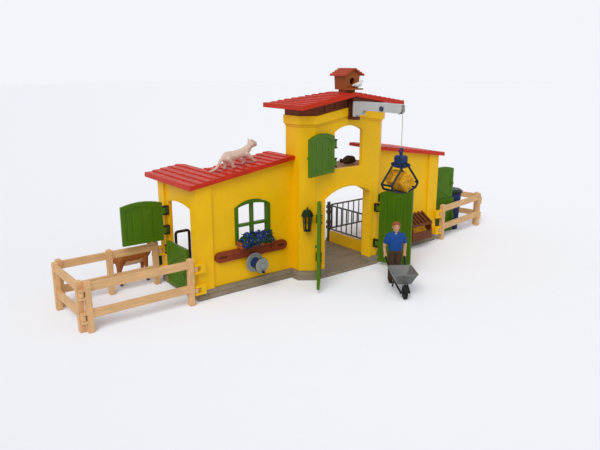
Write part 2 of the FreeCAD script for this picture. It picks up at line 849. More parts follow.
def wing_base():
    outer = wing_end + plinth_proud
    front = span((-outer, -tower_half - plinth_proud), (-plinth_proud, wall), (0, plinth_height))
    end = span((-outer, wall - wing_end), (-plinth_proud, wing_depth), (0, plinth_height))
    gap = span((-outer - overrun, wall - wing_end + overrun), (end_door_front, end_door_back),
               (end_sill, plinth_height + overrun))
    return fuse([front, end]).cut(gap)


def fence_ears(reach):
    """Pairs of ears round the knuckles of a fence panel, with their pins, reaching along X from the pivot."""
    pieces = []
    r = fence_pin_radius + fence_ring_wall
    nose = r * math.tan(math.pi / 8)
    plan = [(reach, r), (nose, r), (-nose, r), (-r, nose), (-r, -nose), (-nose, -r), (nose, -r), (reach, -r)]
    for low, high in ear_heights():
        pieces.append(profile_xy(plan, low, low + fence_ear))
        pieces.append(profile_xy(plan, high - fence_ear, high))
        pieces.append(pin(Vector(0, 0, low), Vector(0, 0, high), fence_pin_radius))
    return pieces


def ear_heights():
    """Lower and upper faces of each pair of fence ears."""
    step = fence_ring_height / 2 + part_gap + fence_ear
    return [(fence_height * share - step, fence_height * share + step) for share in fence_ring_shares]


def wing_shell(windows, back_lugs):
    """Front and end wall with corner posts, the end doorway, any windows and the fence lugs."""
    outer = wing_end + plinth_proud
    front = under_wing_roof(tower_half, wing_end, 0, wall)
    end = under_wing_roof(wing_end - wall, wing_end, 0, wing_depth)
    corner = under_wing_roof(outer - pilaster_width, outer, -plinth_proud, plinth_proud)
    side_front = under_wing_roof(wing_end, outer, -plinth_proud, plinth_proud + end_door_front - post_clear)
    post_front = end_door_back + post_clear
    side_back = under_wing_roof(wing_end, outer, post_front, wing_depth - post_front)
    pieces = [front, end, corner, side_front, side_back]
    ears = fence_ears(fence_pivot - outer + lug_width)
    pieces += [moved(ear, Vector(-fence_pivot, fence_line, 0)) for ear in ears]
    ear_half = fence_pin_radius + fence_ring_wall
    for heights in ear_heights():
        pieces.append(span((-outer, lug_width - outer), (fence_line - ear_half, -plinth_proud), heights))
    if back_lugs:
        ears = fence_ears(fence_pivot - outer)
        pieces += [moved(ear, Vector(-fence_pivot, back_fence_line, 0)) for ear in ears]
    shell = fuse(pieces).cut(end_doorway(wall + plinth_proud + overrun))
    for middle in windows:
        shell = shell.cut(arch(window_half, window_low, window_spring, window_rise,
                               -overrun, wall + 2 * overrun, middle))
    return shell


def wing_roof():
    """Lean-to roof, deep over the end wall and stepped forward beside the tower."""
    outer = wing_end + wing_end_over
    run = outer - tower_half
    slope = stepped_slope(wing_eave, wing_top(tower_half), run, roof_thickness, wing_courses)
    slab = profile_xz([(along - outer, height) for along, height in slope],
                      -wing_front_over, roof_back + wing_front_over)
    r = roof_jog_radius
    diagonal = r * math.sqrt(0.5)
    low = wing_eave - overrun
    beside = overrun - tower_half
    beyond = roof_back + overrun
    first = Vector(-roof_jog + r, roof_step, low)
    first_end = Vector(-roof_jog, roof_step + r, low)
    first_middle = Vector(first.x - diagonal, first_end.y - diagonal, low)
    second = Vector(-roof_jog, roof_back - r, low)
    second_end = Vector(-roof_jog - r, roof_back, low)
    second_middle = Vector(second_end.x + diagonal, second.y + diagonal, low)
    corners = bow(first, first_middle, first_end) + bow(second, second_middle, second_end)
    corners += [Vector(second_end.x, beyond, low), Vector(beside, beyond, low),
                Vector(beside, roof_step, low)]
    height = wing_top(tower_half) + roof_thickness + overrun - low
    return slab.cut(polygon(corners).extrude(UP * height))


# Window, flower box, coat rail and reel

def window_frame():
    inside = window_half - seat_gap
    outer = arch(inside, window_low + seat_gap, window_spring, window_rise - seat_gap,
                 -window_proud, wall + window_proud, window_middle)
    hole_half = inside - window_frame_width
    hole = arch(hole_half, window_low + window_frame_width, window_spring, window_rise - window_frame_width,
                -overrun, wall + 2 * overrun, window_middle)
    half_bar, half_frame = window_bar / 2, window_frame_width / 2
    upright = span((window_middle - half_bar, window_middle + half_bar), (0, wall),
                   (window_low + half_frame, window_spring + window_rise - half_frame))
    cross_height = (window_low + window_spring) / 2
    reach = hole_half + window_bar
    cross = span((window_middle - reach, window_middle + reach), (0, wall),
                 (cross_height - half_bar, cross_height + half_bar))
    return fuse([outer.cut(hole), upright, cross])


def flower_box():
    low, high = box_low, box_low + box_height
    outer = span((window_middle - box_half, window_middle + box_half), (-box_reach, 0), (low, high))
    inner = span((window_middle - box_half + box_wall, window_middle + box_half - box_wall),
                 (box_wall - box_reach, -box_wall), (low + box_wall, high + overrun))
    return moved(outer.cut(inner), FRONT * window_proud)


def flowers():
    """Blossoms with leaves between them on the soil that fills the box."""
    inner = box_half - box_wall - seat_gap
    top = box_low + box_height
    edge = box_wall + seat_gap
    soil = span((window_middle - inner, window_middle + inner), (edge - box_reach, -edge),
                (box_low + box_wall, top))
    pieces = [soil]
    pitch = 2 * (inner - flower_radius) / (flower_count - 1)
    first = Vector(window_middle - inner + flower_radius, -box_reach / 2, top)
    for place in range(flower_count):
        lift = flower_radius * flower_lift_shares[place % 2]
        centre = first + RIGHT * (pitch * place) + UP * lift
        pieces.append(pebble(centre, flower_radius, flower_radius, flower_radius))
    for place in range(flower_count - 1):
        centre = first + RIGHT * (pitch * place + pitch / 2) + FRONT * leaf_forward + UP * leaf_radius
        pieces.append(pebble(centre, leaf_radius, leaf_radius, leaf_radius))
    return moved(fuse(pieces), FRONT * window_proud)


def coat_rail():
    low, high = rail_low, rail_low + rail_height
    middle = (low + high) / 2
    left, right = rail_middle - rail_half, rail_middle + rail_half
    end = rail_height / 2
    board = span((left + end, right - end), (-rail_depth, 0), (low, high))
    ends = [bar(Vector(x, -rail_depth, middle), Vector(x, 0, middle), end, turned_sides)
            for x in (left + end, right - end)]
    slots = []
    half_long, half_high = rail_slot_length / 2, rail_slot_height / 2
    for side in (-1, 1):
        x = rail_middle + side * (rail_half - rail_slot_in)
        slots.append(span((x - half_long, x + half_long), (-rail_depth - overrun, -rail_depth / 2),
                          (middle - half_high, middle + half_high)))
    rail = fuse([board] + ends).cut(slots)
    hooks = []
    for side in (-1, 1):
        foot = Vector(rail_middle + side * (rail_half - rail_hook_in), -rail_depth / 2, middle)
        knee = foot + FRONT * rail_hook_reach
        hooks.append(bent_bar([foot, knee, knee + UP * rail_hook_rise], rail_hook_radius))
    return fuse([rail] + hooks)


def reel_axis():
    return Vector(rail_middle, 0, rail_low - reel_drop)


def reel_bracket():
    centre = reel_axis()
    plate = span((centre.x - plate_half, centre.x + plate_half), (-plate_depth, 0),
                 (centre.z - plate_half, rail_low))
    tip = centre + FRONT * (plate_depth + part_gap + reel_length + part_gap)
    shaft = pin(centre, tip, spindle_radius)
    cap = bar(tip, tip + FRONT * reel_cap_depth, reel_cap_radius)
    return fuse([plate, shaft, cap])


def reel_drum():
    """Spool with a wide back flange, a smaller front flange and a crank on its face."""
    back = plate_depth + part_gap
    front = back + reel_length
    core = (back + 2 * reel_flange, front - 2 * reel_flange)
    drum = spindle(HOME, FRONT, [(reel_back_radius, back), (reel_back_radius, back + reel_flange),
                                 (reel_core_radius, core[0]), (reel_core_radius, core[1]),
                                 (reel_front_radius, front - reel_flange), (reel_front_radius, front)])
    bore = pin_hole(HOME, FRONT * (front + overrun), spindle_radius)
    foot = Vector(0, reel_flange / 2 - front, -crank_offset)
    crank = bar(foot, foot + FRONT * crank_reach, crank_radius)
    return moved(fuse([drum, crank]).cut(bore), reel_axis())


# Hinges and door leaves. A leaf is drawn from its axis along X with its outer face to the front.

def hinge_bracket(height):
    """Wall plate with two ears and a pin, for one knuckle."""
    step = barrel_height / 2 + part_gap
    low, high = height - step - ear_thickness, height + step + ear_thickness
    near, plate, tip = axis_reach, axis_reach - bracket_plate, -barrel_radius
    under, over = low + ear_thickness, high - ear_thickness
    side = [(near, low), (tip, low), (tip, under), (plate, under),
            (plate, over), (tip, over), (tip, high), (near, high)]
    channel = polygon([Vector(-barrel_radius, y, z) for y, z in side]).extrude(RIGHT * (2 * barrel_radius))
    return fuse([channel, pin(Vector(0, 0, low), Vector(0, 0, high), hinge_pin_radius)])


def leaf_block(width, low, tops, inset, front, depth):
    """Leaf outline, drawn in by inset: tops are the heights at the hinge, the middle and the free edge."""
    x0, x1, z0 = leaf_start + inset, width - inset, low + inset
    at_hinge, at_middle, at_free = [top - inset for top in tops]
    foot = [Vector(x0, front, z0), Vector(x1, front, z0)]
    top = [Vector(x1, front, at_free), Vector(x0, front, at_hinge)]
    if at_middle > (at_hinge + at_free) / 2:
        top = bow(top[0], Vector((x0 + x1) / 2, front, at_middle), top[1])
    return polygon(foot + top).extrude(BACK * depth)


def brace(start, end):
    """Flat bar on the leaf's outer face, between two points of X and Z."""
    run = Vector(end[0] - start[0], 0, end[1] - start[1])
    across = run.cross(BACK).normalize() * (brace_width / 2)
    a, b = (Vector(x, -leaf_thickness / 2, z) for x, z in (start, end))
    return polygon([a + across, b + across, b - across, a - across]).extrude(BACK * leaf_relief)


def knuckle_heights(low, tops):
    return [low + share * (tops[0] - low) for share in door_knuckle_shares]


def door_leaf(width, low, tops, braced, ring_latch):
    """Framed plank leaf with two hinge barrels and a latch knob or ring by its free edge."""
    half = leaf_thickness / 2
    leaf = leaf_block(width, low, tops, 0, -half, leaf_thickness)
    outer_pocket = leaf_block(width, low, tops, leaf_frame, -half - overrun, overrun + leaf_relief)
    inner_pocket = leaf_block(width, low, tops, leaf_frame, half - leaf_relief, overrun + leaf_relief)
    leaf = leaf.cut([outer_pocket, inner_pocket])
    pitch = (width - leaf_start) / (leaf_groove_count + 1)
    floor = half - leaf_relief
    grooves = []
    for line in range(1, leaf_groove_count + 1):
        x = leaf_start + pitch * line
        grooves.append(span((x - groove_width / 2, x + groove_width / 2), (floor - groove_depth, half),
                            (low + leaf_frame, min(tops) - leaf_frame)))
    leaf = leaf.cut(grooves)
    if braced:
        edge = leaf_frame / 2
        middle = (leaf_start + edge, (low + min(tops)) / 2)
        strips = [brace(middle, (width - edge, height)) for height in (low + edge, tops[2] - edge)]
        outline = leaf_block(width, low, tops, edge, -half, leaf_thickness)
        leaf = fuse([leaf] + [strip.common(outline) for strip in strips])
    pieces = [leaf]
    for height in knuckle_heights(low, tops):
        base = Vector(0, 0, height - barrel_height / 2)
        pieces.append(pin(base, base + UP * barrel_height, barrel_radius))
        pieces.append(span((0, leaf_start + leaf_frame / 2), (-half, half), (base.z, base.z + barrel_height)))
    pieces.append(latch(width, (low + tops[2]) / 2, ring_latch))
    solid = fuse(pieces)
    bores = []
    for height in knuckle_heights(low, tops):
        base = Vector(0, 0, height - barrel_height / 2 - part_gap)
        bores.append(pin_hole(base, base + UP * (barrel_height + 2 * part_gap), hinge_pin_radius))
    return solid.cut(bores)


def latch(width, height, ring_pull):
    """Knob, or a ring on a boss, on the outer face by the free edge."""
    foot = Vector(width - knob_inset, 0, height)
    tip = foot + FRONT * (leaf_thickness / 2 + knob_reach)
    if not ring_pull:
        return bar(foot, tip, knob_radius)
    middle = tip - UP * ring_radius - FRONT * ring_wire
    return fuse([bar(foot, tip, knob_radius), hoop(middle, RIGHT, UP, ring_radius, ring_wire)])


def tower_door_tops():
    chord = (door_hinge_top + door_free_top) / 2
    return door_hinge_top, chord + door_bulge, door_free_top


def shutter_tops():
    return shutter_top, shutter_top + shutter_rise, shutter_top


def upper_tops():
    spring = end_door_spring - part_gap
    return spring, spring + end_door_rise, spring


def lower_tops():
    return stable_split, stable_split, stable_split


def stable_width():
    return end_door_width - 2 * part_gap


def left_door_place(shape):
    return moved(shape, Vector(-door_hinge_side, -tower_front - axis_reach, 0))


def shutter_place(shape):
    return moved(shape, Vector(-loft_half - shutter_overlap, -tower_front - axis_reach, 0))


def left_stable_place(shape):
    return moved(turned(shape, -90), Vector(-wing_end - axis_reach, end_door_back + part_gap, 0))


def right_stable_place(shape):
    return moved(turned(shape, 90), Vector(wing_end + axis_reach, end_door_front - part_gap, 0))


def door_lows():
    """Lower edges of the tower doors, the shutter, and the lower and upper stable leaves."""
    return (floor_thickness + leaf_floor_gap, loft_sill - shutter_drop, end_sill + leaf_floor_gap,
            stable_split + part_gap)


def hinge_brackets():
    """All the dark hinge brackets on the walls, as separate pieces."""
    door_low, shutter_low, lower_low, upper_low = door_lows()
    pieces = []
    for height in knuckle_heights(door_low, tower_door_tops()):
        bracket = left_door_place(hinge_bracket(height))
        pieces += [bracket, mirrored(bracket)]
    for height in knuckle_heights(shutter_low, shutter_tops()):
        pieces.append(shutter_place(hinge_bracket(height)))
    stable = knuckle_heights(lower_low, lower_tops()) + knuckle_heights(upper_low, upper_tops())
    for height in stable:
        pieces.append(left_stable_place(hinge_bracket(height)))
        pieces.append(right_stable_place(hinge_bracket(height)))
    return Part.makeCompound(pieces)


def doors():
    """Every leaf at the opening that the set is shown with."""
    door_low, shutter_low, lower_low, upper_low = door_lows()
    half = door_leaf(door_hinge_side - part_gap / 2, door_low, tower_door_tops(), False, False)
    shutter_width = 2 * loft_half + shutter_overlap + leaf_start
    shutter = door_leaf(shutter_width, shutter_low, shutter_tops(), False, False)
    lower = door_leaf(stable_width(), lower_low, lower_tops(), True, True)
    upper = door_leaf(stable_width(), upper_low, upper_tops(), True, False)
    return {
        "left_door": left_door_place(turned(half, -door_left_angle)),
        "right_door": mirrored(left_door_place(turned(half, -door_right_angle))),
        "loft_shutter": shutter_place(turned(shutter, -shutter_angle)),
        "left_lower_leaf": left_stable_place(turned(lower, -left_lower_angle)),
        "left_upper_leaf": left_stable_place(turned(upper, -left_upper_angle)),
        "right_lower_leaf": right_stable_place(turned(lower, -right_lower_angle)),
        "right_upper_leaf": right_stable_place(turned(upper, -right_upper_angle)),
    }


# Stall of the right wing

def post_place():
    return Vector(tower_half - wall / 2, wing_depth - post_inset, floor_thickness)


def stall_post():
    foot = post_place()
    top = Vector(foot.x, foot.y, gate_low + gate_height + post_base_height)
    base = bar(foot, foot + UP * post_base_height, post_base_radius)
    return fuse([pin(foot, top, post_radius), base])


def stall_sill():
    place = post_place()
    return span((tower_half - wall, tower_half), (return_back, place.y - post_base_radius - part_gap),
                (floor_thickness, floor_thickness + stall_sill_height))


def gate_length():
    """From the post's axis to the far edge of a gate, which stops short of the side wall."""
    return post_place().y - return_back - part_gap


def stall_gate(ring_shares):
    """Barred gate from the post's axis along X, hung on two rings."""
    far = gate_length() - gate_rod
    low, high = gate_low + gate_rod, gate_low + gate_height - gate_rod
    pieces = [bar(Vector(gate_start - gate_rod, 0, z), Vector(far + gate_rod, 0, z), gate_rod)
              for z in (low, high)]
    pitch = (far - gate_start) / (gate_bar_count + 1)
    for place in range(gate_bar_count + 2):
        x = gate_start + pitch * place
        at_end = place in (0, gate_bar_count + 1)
        pieces.append(bar(Vector(x, 0, low), Vector(x, 0, high), gate_rod if at_end else gate_bar))
    bores = []
    for share in ring_shares:
        base = Vector(0, 0, gate_low + gate_height * share - ring_height / 2)
        pieces.append(pin(base, base + UP * ring_height, post_radius + ring_wall))
        pieces.append(span((0, gate_start), (-gate_rod, gate_rod), (base.z, base.z + ring_height)))
        bores.append(pin_hole(base - UP * overrun, base + UP * (ring_height + overrun), post_radius))
    return fuse(pieces).cut(bores)


def stall_gates():
    place = Vector(post_place().x, post_place().y, 0)
    return {
        "stall_side_gate": moved(turned(stall_gate(side_ring_shares), -90), place),
        "stall_back_gate": moved(stall_gate(back_ring_shares), place),
    }


# Lanterns

def lantern_ring(radius, height):
    return ring(UP * height, RIGHT * radius, BACK * radius, bar_sides)


def lantern():
    """Left lantern: wall plate, arm and a six-sided body under a pointed cap."""
    top = lantern_low + lantern_height
    glass = faceted([lantern_ring(lantern_radius - lantern_taper, lantern_low),
                     lantern_ring(lantern_radius, top)])
    cap = faceted([lantern_ring(lantern_radius + lantern_cap_over, top),
                   lantern_ring(lantern_arm, top + lantern_cap)])
    bevel = math.atan2(chamfer_depth, tower_half - front_half)
    outward = Vector(-math.sin(bevel), -math.cos(bevel), 0)
    crown = Vector(0, 0, top + lantern_cap - lantern_arm)
    arm = bar(crown, crown - outward * lantern_reach, lantern_arm)
    plate = span((-lantern_plate_half, lantern_plate_half), (-lantern_plate, 0),
                 (top - lantern_plate_half, top + lantern_cap + lantern_plate_half))
    plate = moved(turned(plate, -math.degrees(bevel)), outward * -lantern_reach)
    middle = Vector(-(tower_half + front_half) / 2, chamfer_depth / 2 - tower_front, 0)
    return moved(fuse([glass, cap, arm, plate]), middle + outward * lantern_reach)


# Crane

def crane_bracket():
    """Channel on the gable with two nosed ears and a fixed pin, which carry the jib."""
    back = -tower_front - cornice_proud
    plate = span((-bracket_half, bracket_half), (back - bracket_back, back), (bracket_low, bracket_top))
    nose = bracket_half * math.tan(math.pi / 8)
    front = pivot_y - bracket_half
    plan = [(-bracket_half, back), (-bracket_half, pivot_y - nose), (-nose, front), (nose, front),
            (bracket_half, pivot_y - nose), (bracket_half, back)]
    ears = [profile_xy(plan, low, low + bracket_ear) for low in (bracket_low, bracket_top - bracket_ear)]
    pivot = pin(Vector(0, pivot_y, bracket_low), Vector(0, pivot_y, bracket_top), pivot_radius)
    return fuse([plate, pivot] + ears)


def crane_arm():
    """Hollow jib on a hinge barrel, with a short leg and a forked nose for the sheave."""
    barrel_low = bracket_low + bracket_ear + part_gap
    barrel_high = bracket_top - bracket_ear - part_gap
    barrel = bar(Vector(0, pivot_y, barrel_low), Vector(0, pivot_y, barrel_high),
                 crane_barrel_radius, turned_sides)
    near = pivot_y - crane_barrel_radius / 2
    leg_front = near - leg_depth
    low = jib_top - jib_height
    tip, round_off = sheave_y - fork_reach, fork_reach * math.tan(math.pi / 8)
    side = [(near, low - leg_drop), (near, jib_top), (tip + round_off, jib_top), (tip, jib_top - round_off),
            (tip, low + round_off), (tip + round_off, low), (leg_front - leg_fillet, low),
            (leg_front, low - leg_fillet), (leg_front, low - leg_drop)]
    beam = polygon([Vector(-jib_half, y, z) for y, z in side]).extrude(RIGHT * (2 * jib_half))
    hollow_half = jib_half - jib_wall
    hollow = span((-hollow_half, hollow_half), (tip - overrun, leg_front),
                  (low - overrun, jib_top - jib_wall))
    axle = [Vector(side * (jib_half + overrun), winch_y, sheave_z) for side in (-1, 1)]
    pivot = [Vector(0, pivot_y, barrel_low - overrun), Vector(0, pivot_y, barrel_high + overrun)]
    arm = fuse([beam, barrel]).cut([hollow, pin_hole(axle[0], axle[1], winch_axle_radius),
                                 pin_hole(pivot[0], pivot[1], pivot_radius)])
    fork = [Vector(side * jib_half, sheave_y, sheave_z) for side in (-1, 1)]
    return fuse([arm, pin(fork[0], fork[1], sheave_pin_radius)])


def crane_pulley():
    """Grooved sheave on the fork's pin."""
    rim, deep, half = pulley_radius, pulley_radius - pulley_groove, pulley_half
    floor = cord_radius + pin_play
    wheel = spindle(HOME, RIGHT, [(rim, -half), (deep, -floor), (deep, floor), (rim, half)])
    bore = pin_hole(RIGHT * -jib_half, RIGHT * jib_half, sheave_pin_radius)
    return moved(wheel.cut(bore), Vector(0, sheave_y, sheave_z))


def jib_cord():
    """Cord inside the jib, from the winch drum to the sheave and a quarter of the way round it."""
    lay = sheave_y - cord_y
    drum_top = sheave_z + winch_drum_radius + cord_radius + pin_play
    angles = [math.pi / 2 * step / cord_wrap_steps for step in range(cord_wrap_steps + 1)]
    wrap = [Vector(0, sheave_y - lay * math.sin(a), sheave_z + lay * math.cos(a)) for a in angles]
    return bent_bar([Vector(0, winch_y, drum_top)] + wrap, cord_radius)


def winch():
    """Drum inside the jib with its axle and the knob outside."""
    drum_half = jib_half - jib_wall - part_gap
    near = -jib_half - part_gap
    axle = pin(RIGHT * near, RIGHT * jib_half, winch_axle_radius)
    drum = pin(RIGHT * -drum_half, RIGHT * drum_half, winch_drum_radius)
    knob = pin(RIGHT * (near - winch_knob_reach), RIGHT * near, winch_knob_radius)
    return moved(fuse([axle, drum, knob]), Vector(0, winch_y, sheave_z))


def hoist_cord():
    return bar(Vector(0, cord_y, cord_low), Vector(0, cord_y, cord_top), cord_radius)


# Grab and bale, hung under the cord

def grab_head():
    """Head block with an eye on top and two jaw pins through it."""
    block = span((-head_half, head_half), (-head_depth, head_depth), (head_low, head_top))
    rim = [edge for edge in block.Edges if edge.CenterOfMass.z > head_top - part_gap]
    block = block.makeChamfer(head_chamfer, rim)
    eye_middle = cord_low - eye_radius - eye_wire
    neck = bar(Vector(0, 0, head_top), Vector(0, 0, eye_middle - eye_radius), neck_radius)
    eye = hoop(Vector(0, 0, eye_middle), RIGHT, UP, eye_radius, eye_wire)
    pieces = [block, neck, eye]
    pin_half = head_depth + jaw_barrel_depth + 2 * part_gap
    for side in (-1, 1):
        ends = [Vector(side * jaw_pivot_spread, reach, jaw_pivot_height) for reach in (-pin_half, pin_half)]
        pieces.append(pin(ends[0], ends[1], jaw_pin_radius))
        for end, way in zip(ends, (FRONT, BACK)):
            pieces.append(bar(end, end + way * jaw_cap, jaw_cap_radius))
    return moved(fuse(pieces), Vector(0, cord_y, 0))


def grab_jaw():
    """Right jaw: two bent tines on the head's pin, joined by rungs."""
    middle = head_depth + part_gap + jaw_barrel_depth / 2
    bends = [Vector(jaw_pivot_spread, 0, jaw_pivot_height), Vector(jaw_out, 0, jaw_out_height),
             Vector(jaw_knee, 0, jaw_knee_height), Vector(jaw_tip, 0, jaw_tip_height)]
    pieces = []
    for side in (-1, 1):
        shift = Vector(0, side * middle, 0)
        pieces.append(moved(bent_bar(bends, tine_radius), shift))
        start = bends[0] + shift - BACK * (jaw_barrel_depth / 2)
        pieces.append(pin(start, start + BACK * jaw_barrel_depth, jaw_barrel_radius))
    reach = BACK * (middle + tine_radius)
    pieces += [bar(bend - reach, bend + reach, tine_radius) for bend in bends[1:]]
    bore = BACK * (middle + jaw_barrel_depth)
    jaw = fuse(pieces).cut(pin_hole(bends[0] - bore, bends[0] + bore, jaw_pin_radius))
    return moved(jaw, Vector(0, cord_y, 0))


def hay_bale():
    """Bale on its edge in the grab, with two grooves for the twine."""
    half, ends = bale_side / 2, bale_length / 2
    bale = span((-half, half), (-ends, ends), (-half, half))
    long_edges = [edge for edge in bale.Edges if abs(edge.CenterOfMass.y) < part_gap]
    long_edges = [edge for edge in long_edges if edge.Length > bale_length - part_gap]
    bale = bale.makeChamfer(bale_chamfer, long_edges)
    grooves = []
    for share in bale_band_shares:
        y = bale_length * share
        band = span((-half - overrun, half + overrun), (y - bale_band_width / 2, y + bale_band_width / 2),
                    (-half - overrun, half + overrun))
        core = span((bale_band - half, half - bale_band), (-ends, ends), (bale_band - half, half - bale_band))
        grooves.append(band.cut(core))
    bale = turned(bale.cut(grooves), 45, HOME, BACK)
    corner = bale_side * math.sqrt(0.5)
    middle = jaw_tip_height - jaw_tip + corner + (tine_radius + seat_gap) * math.sqrt(2)
    return moved(bale, Vector(0, cord_y, middle))


# Birdhouse

def birdhouse_body():
    """Hollow box on a foot that sits over the ridge, with a round hole and a perch board."""
    low, high = bird_base + bird_foot_height, bird_base + bird_foot_height + bird_height
    back = bird_front + bird_depth
    narrow, shallow = bird_half - bird_taper, bird_front + bird_taper
    below = [Vector(-narrow, shallow, low), Vector(narrow, shallow, low), Vector(narrow, back, low),
             Vector(-narrow, back, low)]
    above = [Vector(-bird_half, bird_front, high), Vector(bird_half, bird_front, high),
             Vector(bird_half, back, high), Vector(-bird_half, back, high)]
    gable_rise = math.tan(math.radians(bird_roof_angle)) * bird_half
    gable = profile_xz([(-bird_half, high), (bird_half, high), (0, high + gable_rise)],
                       bird_front, bird_depth)
    inside = bird_half - bird_taper - bird_wall
    hollow = span((-inside, inside), (bird_front + bird_taper + bird_wall, back - bird_wall),
                  (low + bird_wall, high))
    middle = bird_front + bird_depth / 2
    hole_height = low + bird_height * bird_hole_share
    hole = bar(Vector(0, bird_front - overrun, hole_height), Vector(0, middle, hole_height),
               bird_hole_radius, turned_sides)
    foot_y = (middle - bird_foot_depth / 2, middle + bird_foot_depth / 2)
    foot = span((-bird_foot_half, bird_foot_half), foot_y,
                (bird_base - tower_slope * bird_foot_half - tile_lip, low))
    perch = span((-narrow, narrow), (bird_front - perch_depth, shallow + bird_wall),
                 (low, low + perch_thickness))
    house = fuse([faceted([below, above]), gable, foot, perch])
    return house.cut([hollow, hole, tower_roof()])


def birdhouse_roof():
    high = bird_base + bird_foot_height + bird_height
    rise = math.tan(math.radians(bird_roof_angle))
    far = bird_half + bird_roof_over
    apex = high + rise * bird_half
    slope = stepped_slope(apex - rise * far, apex, far, bird_roof_thickness, bird_roof_courses)
    half = profile_xz([(far - run, height) for run, height in slope], bird_front - bird_roof_over,
                      bird_depth + 2 * bird_roof_over)
    return fuse([half, mirrored(half)])


def dove():
    """Dove at rest on the perch."""
    length, girth = dove_length, dove_girth
    torso = animal_limb(dove_body_shares, length, girth, length)
    head = animal_limb(dove_head_shares, length, girth, length)
    foot = bar(Vector(0, 0, 0), Vector(0, 0, girth), girth / 2)
    perch_top = bird_base + bird_foot_height + perch_thickness
    bird = turned(fuse([torso, head, foot]), dove_angle)
    return moved(bird, Vector(dove_offset, bird_front - perch_depth / 2, perch_top))


# Fences. A panel is drawn from its pivot along X.

def fence_panel(length, linked, middle_post):
    """Two rails between posts, with rings on the near post and, where linked, ears on the far one."""
    half = fence_post / 2
    near = fence_post_step
    far = length - fence_post_step
    spots = [near, (near + far) / 2, far] if middle_post else [near, far]
    pieces = []
    for x in spots:
        post = span((x - half, x + half), (-half, half), (ground_gap, fence_height))
        top_edges = [edge for edge in post.Edges if edge.CenterOfMass.z > fence_height - part_gap]
        pieces.append(post.makeChamfer(fence_chamfer, top_edges))
    for low in (fence_rail_low, fence_rail_high):
        pieces.append(span((near, far), (-fence_rail_depth / 2, fence_rail_depth / 2),
                           (low, low + fence_rail_height)))
    outer = fence_pin_radius + fence_ring_wall
    bores = []
    for share in fence_ring_shares:
        base = Vector(0, 0, fence_height * share - fence_ring_height / 2)
        pieces.append(pin(base, base + UP * fence_ring_height, outer))
        pieces.append(span((0, near), (-outer / 2, outer / 2), (base.z, base.z + fence_ring_height)))
        end = base + UP * (fence_ring_height + part_gap)
        bores.append(pin_hole(base - UP * part_gap, end, fence_pin_radius))
    panel = fuse(pieces).cut(bores)
    if linked:
        ears = [turned(ear, 180) for ear in fence_ears(fence_post_step)]
        panel = fuse([panel] + [moved(ear, Vector(length, 0, 0)) for ear in ears])
    return panel


def fences():
    """Three panels round the left pen and two at the right."""
    long_panel = fence_panel(fence_long, True, False)
    short_panel = fence_panel(fence_short, False, False)
    back_panel = fence_panel(fence_long, False, True)
    left = Vector(-fence_pivot, fence_line, 0)
    right = Vector(fence_pivot, fence_line, 0)
    corner = left - RIGHT * fence_long
    heading = math.radians(right_fence_angle)
    right_corner = right + Vector(math.cos(heading), math.sin(heading), 0) * fence_long
    return {
        "left_front_fence": moved(turned(long_panel, 180), left),
        "left_side_fence": moved(turned(short_panel, 90), corner),
        "left_back_fence": moved(turned(back_panel, 180), Vector(-fence_pivot, back_fence_line, 0)),
        "right_front_fence": moved(turned(long_panel, right_fence_angle), right),
        "right_side_fence": moved(turned(short_panel, right_fence_angle + right_side_angle), right_corner),
    }


# Hay rack on the right wing

def hay_rack():
    """Feed trough on the wall under a sloping rack of slats."""
    left, right = rack_middle - rack_half, rack_middle + rack_half
    top = rack_low + rack_trough_height
    trough = span((left, right), (-rack_trough_reach, -plinth_proud), (rack_low, top))
    trough = trough.fuse(span((left, right), (-plinth_proud, 0), (rack_low, rack_top)))
    inner = span((left + rack_board, right - rack_board), (rack_board - rack_trough_reach, -plinth_proud),
                 (rack_low + rack_board, top + overrun))
    pieces = [trough.cut(inner)]
    front_top = rack_top - rack_fall
    for x in (left, right - rack_board):
        cheek = [Vector(x, -plinth_proud, rack_low), Vector(x, -rack_trough_reach, rack_low),
                 Vector(x, -rack_trough_reach, top), Vector(x, rack_board - rack_trough_reach, front_top),
                 Vector(x, -plinth_proud, rack_top)]
        pieces.append(polygon(cheek).extrude(RIGHT * rack_board))
    pitch = (right - left - rack_slat) / (rack_slat_count - 1)
    for slat in range(rack_slat_count):
        x = left + pitch * slat
        slope = [Vector(x, 0, rack_top), Vector(x, -rack_trough_reach, front_top),
                 Vector(x, -rack_trough_reach, front_top + rack_board), Vector(x, 0, rack_top + rack_board)]
        pieces.append(polygon(slope).extrude(RIGHT * rack_slat))
    pieces.append(span((left, right), (-rack_trough_reach, rack_board - rack_trough_reach),
                       (front_top - rack_board, front_top + rack_board)))
    return fuse(pieces)


def rack_hay():
    left, right = rack_middle - rack_half + rack_board, rack_middle + rack_half - rack_board
    front, back = rack_board - rack_trough_reach, -plinth_proud
    low = rack_low + rack_board
    rim = rack_low + rack_trough_height
    points = [(front + seat_gap, low), (back - seat_gap, low), (back - seat_gap, rim + hay_height),
              ((front + back) / 2, rim + hay_height), (front + seat_gap, rim)]
    section = [Vector(left + seat_gap, y, z) for y, z in points]
    return polygon(section).extrude(RIGHT * (right - left - 2 * seat_gap))


# Loose pieces

def barrel_foot():
    return Vector(fence_pivot + barrel_out, fence_line + barrel_back, 0)


def feed_barrel():
    """Tapered barrel."""
    place = barrel_foot()
    return spindle(place, UP, [(barrel_low_radius, 0), (barrel_top_radius, barrel_tall)])


def barrel_lid():
    place = barrel_foot() + UP * barrel_tall
    return spindle(place, UP, [(lid_radius, 0), (lid_radius, lid_thickness - lid_crown),
                               (lid_radius - lid_crown, lid_thickness)])


